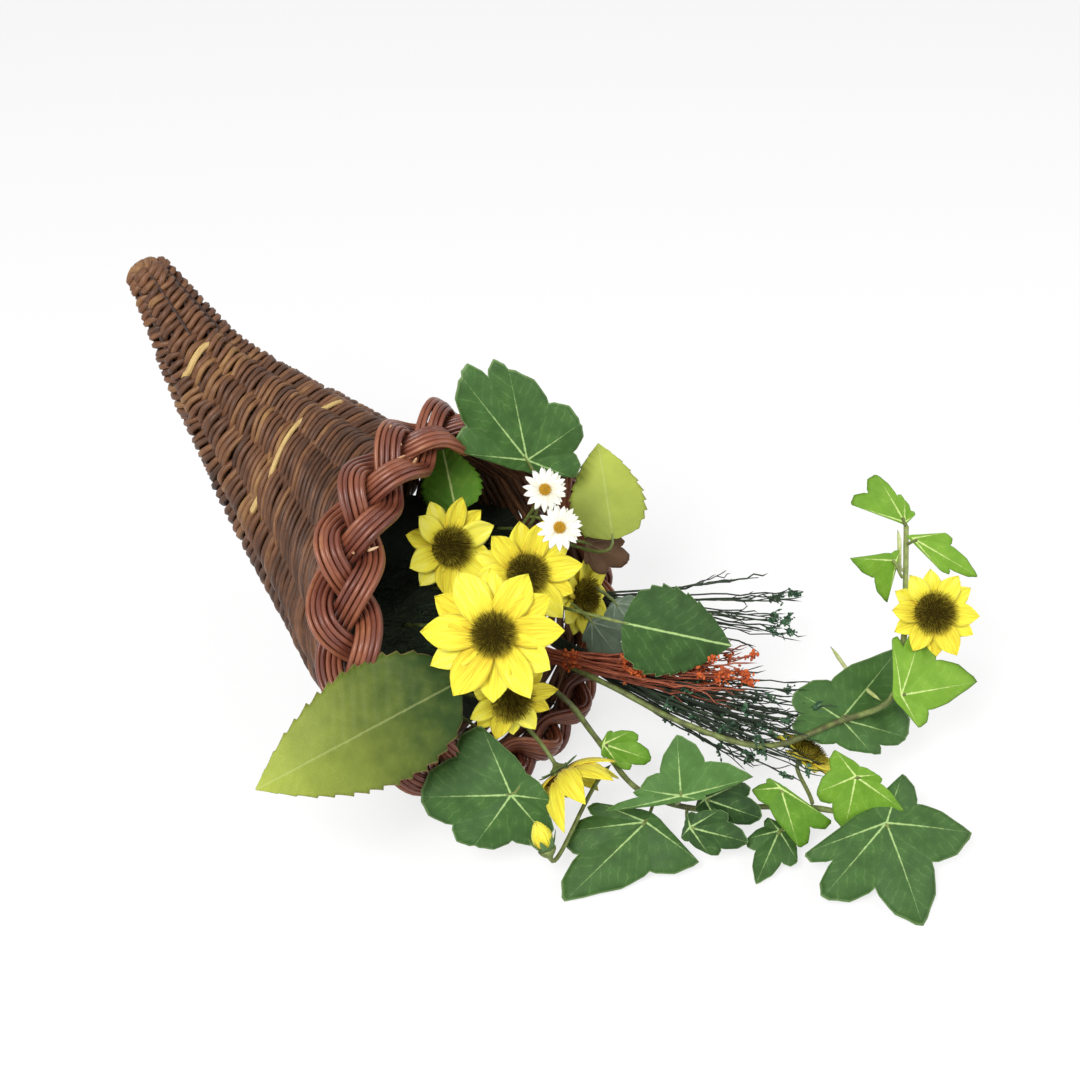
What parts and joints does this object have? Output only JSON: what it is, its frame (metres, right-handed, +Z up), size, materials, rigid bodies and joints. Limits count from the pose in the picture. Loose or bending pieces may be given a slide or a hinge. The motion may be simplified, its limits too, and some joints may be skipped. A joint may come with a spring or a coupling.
{
  "type": "cornucopia basket",
  "caption": "Horn-shaped wicker basket with a plaited rim, lying on its side and filled with artificial sunflowers, ivy, daisies and dried twigs.",
  "frame": {"origin": "on the small flat under the plaited rim's lowest bundle, in the horn's middle plane", "axes": "+Z up, the mouth faces +X and tips up, +Y to the left seen from behind the tail towards the mouth; the middle plane is y = 0"},
  "size_m": [0.5105, 0.3563, 0.2338],
  "materials": {
    "wicker": "stained woven reed, satin",
    "dark_cane": "stained reed stakes",
    "cane": "plaited reddish reed, semi-gloss",
    "floral_foam": "foam block under dark moss",
    "yellow_silk": "stiffened woven fabric",
    "white_silk": "stiffened woven fabric",
    "seed_brown": "flocked foam",
    "pollen_yellow": "flocked",
    "stem_green": "moulded over wire",
    "dark_leaf": "printed fabric, satin",
    "bright_leaf": "printed fabric, satin",
    "lime_leaf": "printed fabric, satin",
    "twig_green": "dyed dried twigs",
    "twig_rust": "dyed dried twigs"
  },
  "bodies": {
    "root": {"braid_strand_1": "cane", "braid_strand_2": "cane", "braid_strand_3": "cane", "daisy_1_centre": "pollen_yellow", "daisy_1_petals": "white_silk", "daisy_2_centre": "pollen_yellow", "daisy_2_petals": "white_silk", "daisy_stem": "stem_green", "dark_leaf_right": "dark_leaf", "floral_foam": "floral_foam", "inner_leaf": "dark_leaf", "ivy_leaf_1": "dark_leaf", "ivy_leaf_10": "bright_leaf", "ivy_leaf_11": "bright_leaf", "ivy_leaf_2": "dark_leaf", "ivy_leaf_3": "bright_leaf", "ivy_leaf_4": "bright_leaf", "ivy_leaf_5": "dark_leaf", "ivy_leaf_6": "dark_leaf", "ivy_leaf_7": "dark_leaf", "ivy_leaf_8": "bright_leaf", "ivy_leaf_9": "bright_leaf", "ivy_leaf_rim": "dark_leaf", "ivy_leaf_top": "dark_leaf", "ivy_vine_high": "stem_green", "ivy_vine_low": "stem_green", "light_leaf": "lime_leaf", "serrated_leaf": "lime_leaf", "stake_cage": "dark_cane", "sunflower_1_centre": "seed_brown", "sunflower_1_petals": "yellow_silk", "sunflower_1_stem": "stem_green", "sunflower_2_centre": "seed_brown", "sunflower_2_petals": "yellow_silk", "sunflower_2_stem": "stem_green", "sunflower_3_centre": "seed_brown", "sunflower_3_petals": "yellow_silk", "sunflower_3_stem": "stem_green", "sunflower_4_centre": "seed_brown", "sunflower_4_petals": "yellow_silk", "sunflower_4_stem": "stem_green", "sunflower_5_centre": "seed_brown", "sunflower_5_petals": "yellow_silk", "sunflower_5_stem": "stem_green", "sunflower_6_centre": "seed_brown", "sunflower_6_petals": "yellow_silk", "sunflower_6_stem": "stem_green", "sunflower_7_centre": "seed_brown", "sunflower_7_petals": "yellow_silk", "sunflower_7_stem": "stem_green", "sunflower_8_centre": "seed_brown", "sunflower_8_petals": "yellow_silk", "sunflower_8_stem": "stem_green", "sunflower_bud": "yellow_silk", "sunflower_bud_stem": "stem_green", "twigs_lower": "twig_green", "twigs_rust": "twig_rust", "twigs_upper": "twig_green", "woven_wall": "wicker"}
  },
  "joints": []
}
